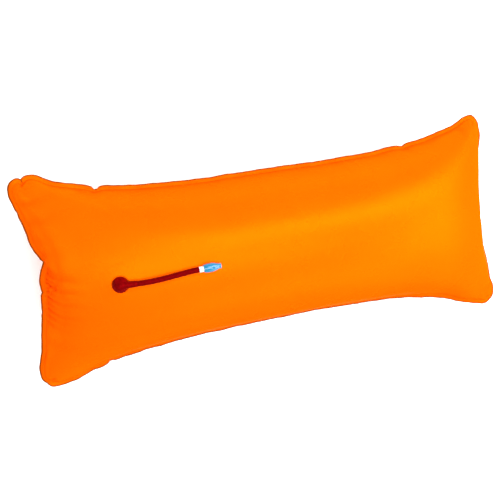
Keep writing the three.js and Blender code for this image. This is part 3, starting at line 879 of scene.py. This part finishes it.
def round_hole(points, grid, boot):
    """Puts the points of the hole's edge on a true circle about the boot's axis."""
    to_boot = boot.matrix.inverted()
    for i, j in np.argwhere(np.abs(grid.square - HOLE_BLOCK) < TINY):
        local = to_boot @ Vector(points[i, j])
        scale = HOLE_RADIUS / math.hypot(local.x, local.y)
        points[i, j] = boot.matrix @ Vector((local.x * scale, local.y * scale, local.z))


def rest_on_ground(points):
    """Flattens the bag where it lies on the ground."""
    points[..., 2] = GROUND_SOFTNESS * np.logaddexp(0, points[..., 2] / GROUND_SOFTNESS)


def panel_shape(grid, change, boot):
    """The places of a panel's points, and how much painted crease shade each one takes."""
    points = laid_on_pillow(*grid.placed)
    front = grid.side > 0
    away = smoothstep(grid.from_boot, *BOOT_CALM) if front else np.ones(grid.along.shape)
    points = points + away[..., None] * on_lines(change, grid.along_lines, grid.across_lines)
    relief = creases(grid.along, grid.across, CREASE_SEED + grid.side) * away
    if front:
        for radius in (PATCH_RADIUS, FLANGE_RADIUS):
            step = smoothstep(grid.from_boot_placed, *[radius + edge for edge in STEP_SLOPE])
            relief = relief + STEP_RISE * (1 - step)
    # Painted shade: the deeper a crease sinks, the more of the painted crease shade it takes.
    crease_shades = np.clip(-relief / CREASE_SHADE_DEPTH, 0, 1)
    points = points + relief[..., None] * facing(points)
    points = points * (1, 1, grid.side)
    points = points + weld_shift(grid.along, grid.across)
    points[..., 2] += weld_waves(grid.along, grid.across)
    points = points + (0, 0, SEAM_HEIGHT)
    if front:
        round_hole(points, grid, boot)
    else:
        rest_on_ground(points)
    return points, crease_shades


def vertex_table(points, flat, weld, rim, crease_shade):
    """Columns for vertices: X, Y, Z, two for the flat cloth, then weld, rim and painted crease
    shade.
    """
    marks = [np.broadcast_to(mark, len(points)) for mark in (weld, rim, crease_shade)]
    return np.column_stack([points, flat, *marks])


def panel_faces(number, in_hole, loops):
    """Faces over a panel's grid, without the hole, and over the strips of its weld."""
    cells = grid_cells(number)
    cells = cells[~in_hole.ravel()[cells].any(1)]
    strips = [
        np.stack([upper, lower, np.roll(lower, -1), np.roll(upper, -1)], -1)
        for upper, lower in zip(loops, loops[1:])
    ]
    return np.concatenate([cells, *strips])


def make_panel(name, node, change, side, boot, material):
    """One fabric panel with its weld rim: the front, or the back if side is -1."""
    grid = PanelGrid(side, boot)
    points, crease_shades = panel_shape(grid, change, boot)
    flat = np.stack(cloth_cut(*grid.placed), -1)
    number = np.arange(crease_shades.size).reshape(crease_shades.shape)
    tables = [vertex_table(points.reshape(-1, 3), flat.reshape(-1, 2), 0, 0, crease_shades.ravel())]
    loops = [border_of(number)]
    for row, cut, share in weld_rows(border_of(points), border_of(flat)):
        loops.append(sum(len(table) for table in tables) + np.arange(len(row)))
        tables.append(vertex_table(row, cut, min(1, share * 4), share, 0))
    faces = panel_faces(number, grid.in_hole, loops)[:, ::side]
    used, faces = np.unique(faces, return_inverse=True)
    table = np.concatenate(tables)[used]
    faces = faces.reshape(-1, 4)
    piece = make_piece(name, node, table[:, :3], faces.tolist(), material)
    layer = piece.data.uv_layers.new(name="cut")
    layer.data.foreach_set("uv", table[faces.ravel(), 3:5].ravel())
    for label, values in zip(("weld", "rim", "crease_shade"), table[:, 5:].T):
        attribute = piece.data.attributes.new(label, "FLOAT", "POINT")
        attribute.data.foreach_set("value", values.astype(np.float32))
    thickness = piece.modifiers.new("thickness", "SOLIDIFY")
    thickness.thickness = CLOTH_THICKNESS
    thickness.offset = -1
    applied(piece)


# ---- Boot ----

VOXEL = 0.5 * MM
BAND = 3.0  # voxels either side of the surface that keep their distance
BOOT_ROOM = np.array([[-26, -26, -9], [33, 26, 17]]) * MM  # corners of the boot's grid
FLANGE_TOP = 2.4 * MM  # depths under the fabric's outer face
FLANGE_BOTTOM = 4.0 * MM
SPIGOT_RADIUS = 8 * MM
SPIGOT_END = -6 * MM
DOME_START = 1 * MM
DOME_HEIGHT = 14 * MM
NECK_HEIGHT = 8.3 * MM
NECK_RADIUS = 6.6 * MM
NECK_TIP_RADIUS = 5.5 * MM
NECK_END = 30 * MM
SOCKET_START = 9.7 * MM
SOCKET_RADIUS = 4.95 * MM
BOOT_BORE = 3.6 * MM
NECK_TAPER = 1.6  # above 1, the neck narrows fastest near the dome
NECK_FILLET = 3.5 * MM
FLANGE_FILLET = 1.0 * MM
RIM_ROUNDINGS = (0.7 * MM, 0.5 * MM, 0.4 * MM)  # at the neck's end, the socket and the bore


def joined(a, b, fillet):
    """The distance to two shapes joined with a round fillet."""
    share = np.clip(0.5 + 0.5 * (b - a) / fillet, 0, 1)
    return b + (a - b) * share - fillet * share * (1 - share)


def carved(a, b, rounding):
    """The distance to a shape with another cut out of it, with a round edge."""
    return -joined(-a, b, rounding)


def fabric_curves(boot):
    """How the fabric curves at the boot along X and Y: height over distance squared."""
    step = 0.02
    line = pillow(BOOT_STATION + step * np.array([-1.0, 0, 1]), np.zeros(3))
    ring = pillow(np.full(3, BOOT_STATION), step * 5 * np.array([-1.0, 0, 1]))
    to_boot = boot.matrix.inverted()
    curves = []
    for row, axis in ((line, 0), (ring, 1)):
        ends = [to_boot @ (Vector(p) + Vector((0, 0, SEAM_HEIGHT))) for p in (row[0], row[2])]
        curves.append(sum(p.z / p[axis] ** 2 for p in ends) / 2)
    return curves


def boot_shape(x, y, z, skin):
    """The distance to the boot's surface, below zero inside; skin is the fabric's height."""
    from_axis = np.hypot(x, y)
    middle = -(FLANGE_TOP + FLANGE_BOTTOM) / 2
    half = (FLANGE_BOTTOM - FLANGE_TOP) / 2
    flange = np.maximum(from_axis - FLANGE_RADIUS, np.abs(z - skin - middle) - half)
    column = np.maximum(from_axis - DOME_RADIUS, np.maximum(middle - z, z - DOME_START))
    squash = (DOME_HEIGHT - DOME_START) / DOME_RADIUS
    ball = np.sqrt(from_axis**2 + ((z - DOME_START) / squash) ** 2) - DOME_RADIUS
    dome = np.minimum(column, np.maximum(ball * squash, -z))
    spigot = np.maximum(from_axis - SPIGOT_RADIUS, np.maximum(SPIGOT_END - z, z - DOME_START))
    from_neck = np.hypot(y, z - NECK_HEIGHT)
    taper = np.clip(1 - x / NECK_END, 0, 1) ** NECK_TAPER
    around = from_neck - NECK_TIP_RADIUS - (NECK_RADIUS - NECK_TIP_RADIUS) * taper
    end_rounding, socket_rounding, bore_rounding = RIM_ROUNDINGS
    neck = np.maximum(carved(around, NECK_END - x, end_rounding), -x)
    shape = joined(dome, neck, NECK_FILLET)
    shape = joined(shape, np.minimum(flange, spigot), FLANGE_FILLET)
    socket = np.maximum(from_neck - SOCKET_RADIUS, SOCKET_START - x)
    shape = carved(shape, socket, socket_rounding)
    gallery = np.maximum(from_neck - BOOT_BORE, -x)
    riser = np.maximum(from_axis - BOOT_BORE, z - NECK_HEIGHT)
    return carved(shape, np.minimum(gallery, riser), bore_rounding)


def make_boot(boot, material):
    """The moulded elbow: a flange under the fabric, a dome through it and a neck for the hose."""
    low, high = BOOT_ROOM
    axes = [np.arange(a, b, VOXEL) for a, b in zip(low, high)]
    x, y, z = np.meshgrid(*axes, indexing="ij")
    curve_x, curve_y = fabric_curves(boot)
    shape = boot_shape(x, y, z, curve_x * x * x + curve_y * y * y)
    grid = openvdb.FloatGrid()
    grid.background = BAND
    grid.copyFromArray(np.clip(shape / VOXEL, -BAND, BAND).astype(np.float32))
    points, quads = grid.convertToQuads(isovalue=0)
    points = [boot.matrix @ Vector(p) for p in points * VOXEL + low]
    piece = make_piece("boot", "hose_boot", points, quads.tolist(), material)
    faces_outwards(piece)


# ---- Hose ----

HOSE_SIDES = 10  # facets of a quarter of its round
BARB_BULGE = 0.035  # how much wider the hose is over the collar's barbs
BARBED_LENGTH = 13 * MM
BARB_PITCH = 4 * MM


def make_hose(material):
    curve = bpy.data.curves.new("hose", "CURVE")
    curve.dimensions = "3D"
    curve.bevel_depth = HOSE_DIAMETER / 2
    curve.bevel_resolution = HOSE_SIDES
    curve.use_fill_caps = True
    line = curve.splines.new("POLY")
    places = np.linspace(0, len(HOSE_ROUTE) - 1, 4 * len(HOSE_ROUTE) - 3)
    route = resampled(HOSE_ROUTE, places)
    line.points.add(len(route) - 1)
    to_end = np.linalg.norm(route - route[-1], axis=1)
    for point, place, distance in zip(line.points, route, to_end):
        point.co = (*place, 1)
        bulge = BARB_BULGE * smoothstep(BARBED_LENGTH - distance, 0, 3 * MM)
        point.radius = 1 + bulge * (0.75 + 0.25 * math.cos(distance / BARB_PITCH * 2 * math.pi))
    curve.materials.append(material)
    hose = add_object("hose", curve)
    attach(hose, "bag")
    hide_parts("fill_hose")


# ---- Valve: places along its own axis from the hose's end, and radii, in millimetres ----

TURNED_SIDES = 72
SAME_POINT = 0.001  # points closer than this become one
SPRING_MEAN = 2.75
SPRING_WIRE = 0.35
SPRING_TURNS = 6
SPRING_RINGS = 40  # rings of points in each turn
WIRE_SIDES = 12
SPRING_CLOSING = 0.24  # how much closer the turns lie at the ends
SPRING_ENDS = (13.65, 23.15)
MOUTHPIECE_ENDS = (8, 39)
COLLAR_RADIUS = 5.0
CAVITY_RADIUS = 5.4
LIP_RADIUS = 4.7
MOUTH_BORE_RADIUS = 3.6
BARREL = [
    (8, 6.5), (11, 7.2), (14, 7.7), (17.5, 8.02), (21, 8.1), (24, 7.93), (27, 7.35), (30, 6.4),
    (32.5, 5.5), (35, 4.75), (36.8, 4.4),
]


def valve_matrix():
    """The valve's frame at the hose's end, with +X away from the hose."""
    axis = -Vector(frame["joints"][0]["axis"])
    turn = Vector((1, 0, 0)).rotation_difference(axis).to_matrix().to_4x4()
    return Matrix.Translation(Vector(HOSE_ROUTE[-1])) @ turn


def softened(outline, radius):
    """An outline with its sharp corners rounded."""
    points = [Vector(p) for p in outline]
    closed = outline[0] == outline[-1]
    soft = []
    for k, point in enumerate(points[:-1] if closed else points):
        if not closed and k in (0, len(points) - 1):
            soft.append(point)
            continue
        before = points[k - 1] if k else points[-2]
        after = points[k + 1]
        if (point - before).angle(after - point, 0) < 0.35:
            soft.append(point)
            continue
        cut = min(radius, 0.45 * (point - before).length, 0.45 * (after - point).length)
        start = point + (before - point).normalized() * cut
        end = point + (after - point).normalized() * cut
        for share in (0, 0.25, 0.5, 0.75, 1):
            soft.append(start.lerp(point, share).lerp(point.lerp(end, share), share))
    return soft + soft[:1] if closed else soft


def swept_smooth(points, count):
    """A smooth line through outline points."""
    rows = np.array(points, float)
    return [tuple(p) for p in resampled(rows, np.linspace(0, len(rows) - 1, count))]


def faces_between(rings, sides, closed=False):
    """Four-sided faces between rings of points that follow one another."""
    faces = []
    for ring in range(rings if closed else rings - 1):
        here, there = ring * sides, (ring + 1) % rings * sides
        for side in range(sides):
            after = (side + 1) % sides
            faces.append((here + side, there + side, there + after, here + after))
    return faces


def make_turned(name, node, outline, softness, material, body):
    """A piece revolved about the valve's axis from an outline of (place, radius) points."""
    rings = softened(outline, softness)
    closed = outline[0] == outline[-1]
    if closed:
        rings = rings[:-1]
    angles = np.arange(TURNED_SIDES) * 2 * math.pi / TURNED_SIDES
    matrix = valve_matrix()
    verts = [
        matrix @ (Vector((x, r * math.cos(a), r * math.sin(a))) * MM)
        for x, r in rings
        for a in angles
    ]
    faces = faces_between(len(rings), TURNED_SIDES, closed)
    piece = make_piece(name, node, verts, faces, material, body)
    faces_outwards(piece, SAME_POINT * MM)
    piece.data.set_sharp_from_angle(angle=math.radians(50))
    return piece


def make_valve_body(material):
    outline = [(-12, 2), (-12, 2.5)]
    for barb in (-8, -4):
        outline += [(barb - 1, 2.9), (barb, 2.9), (barb, 2.5)]
    outline += [(0.3, 2.5), (0.3, COLLAR_RADIUS)]
    for start in (1.6, 3.0):
        for place, depth in ((0, 0), (0.25, 0.25), (0.65, 0.25), (0.9, 0)):
            outline.append((start + place, COLLAR_RADIUS - depth))
    outline += [(12, COLLAR_RADIUS), (12, 4.5), (20, 4.5), (20, 3.7), (13, 3.7), (13, 2), (-12, 2)]
    return make_turned("valve_collar", "valve_body", outline, 0.45, material, "bag")


def make_mouthpiece(material):
    start, end = MOUTHPIECE_ENDS
    outline = [(start, CAVITY_RADIUS)] + swept_smooth(BARREL, 41)
    outline += [(37.2, LIP_RADIUS), (end, LIP_RADIUS), (end, MOUTH_BORE_RADIUS)]
    outline += [(26, MOUTH_BORE_RADIUS), (26, 1.3), (23.5, 1.3), (23.5, CAVITY_RADIUS)]
    outline.append((start, CAVITY_RADIUS))
    piece = make_turned(
        "mouth_barrel", "mouthpiece", outline, 0.5, material, "mouthpiece"
    )
    matrix = valve_matrix()
    work = bmesh.new()
    for k in range(3):
        turn = Matrix.Rotation(k * 2 * math.pi / 3, 4, "X")
        place = Matrix.Translation(Vector((24.75, 2.45, 0)) * MM)
        bar = Matrix.Rotation(math.pi / 2, 4, "Y")
        bmesh.ops.create_cone(
            work, cap_ends=True, segments=24, radius1=0.85 * MM, radius2=0.85 * MM, depth=5 * MM,
            matrix=matrix @ turn @ place @ bar,
        )
    mesh = bpy.data.meshes.new("air_holes")
    work.to_mesh(mesh)
    work.free()
    holes = add_object("air_holes", mesh)
    cutting = piece.modifiers.new("air_holes", "BOOLEAN")
    cutting.operation = "DIFFERENCE"
    cutting.solver = "EXACT"
    cutting.object = holes
    bpy.context.view_layer.update()
    applied(piece)
    bpy.data.objects.remove(holes)
    return piece


def make_poppet(material):
    outline = [(-14.8, 0), (-14.8, 2.5), (-13.6, 2.5), (-13.6, 1), (25.7, 1), (25.7, 0)]
    return make_turned("valve_stem", "poppet", outline, 0.3, material, "mouthpiece")


def make_seal(material):
    outline = [(-13.3, 1.3), (-13.3, 2.7), (-12.3, 2.7), (-12.3, 1.3), (-13.3, 1.3)]
    return make_turned(
        "valve_seal", "poppet_seal", outline, 0.35, material, "mouthpiece"
    )


def make_spring(material):
    """The return spring: a coil with closed ends, built at one length; the mesh does not shorten
    when the mouthpiece is pressed.
    """
    start, end = SPRING_ENDS
    shares = np.linspace(0, 1, SPRING_TURNS * SPRING_RINGS + 1)
    eased = shares - SPRING_CLOSING * np.sin(2 * math.pi * shares) / (2 * math.pi)
    matrix = valve_matrix()
    verts = []
    for share, place in zip(shares, eased):
        angle = share * SPRING_TURNS * 2 * math.pi
        out = Vector((0, math.cos(angle), math.sin(angle)))
        centre = Vector((start + (end - start) * place, 0, 0)) + out * SPRING_MEAN
        for k in range(WIRE_SIDES):
            tilt = k * 2 * math.pi / WIRE_SIDES
            offset = out * math.cos(tilt) + Vector((1, 0, 0)) * math.sin(tilt)
            verts.append(matrix @ ((centre + offset * SPRING_WIRE) * MM))
    faces = faces_between(len(shares), WIRE_SIDES)
    faces.append(tuple(range(WIRE_SIDES))[::-1])
    faces.append(tuple(len(verts) - WIRE_SIDES + k for k in range(WIRE_SIDES)))
    piece = make_piece("valve_spring", "return_spring", verts, faces, material)
    faces_outwards(piece)
    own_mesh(piece)
    return piece


def main():
    make_camera()
    make_studio()
    make_floor()
    boot = BootPlace()
    fabric = fabric_finish()
    front_change, back_change = cloth_changes()
    make_panel("front_cloth", "front_panel", front_change, 1, boot, fabric)
    make_panel("back_cloth", "back_panel", back_change, -1, boot, fabric)
    patch = frame["nodes"]["reinforcement_patch"]
    patch.data.materials.clear()
    patch.data.materials.append(fabric)
    make_boot(boot, rubber_finish("boot_rubber", (0.12, 0.0006, 0.001), (0.22, 0.001, 0.002), 0.36))
    nylon = nylon_finish()
    valve_pieces = [
        make_valve_body(nylon),
        make_mouthpiece(barrel_finish()),
        make_poppet(nylon),
        make_seal(seal_finish()),
        make_spring(steel_finish()),
    ]
    hose_finish = rubber_finish("hose_rubber", (0.11, 0.0005, 0.001), (0.17, 0.001, 0.002), 0.38)
    make_hose(hose_finish)


main()
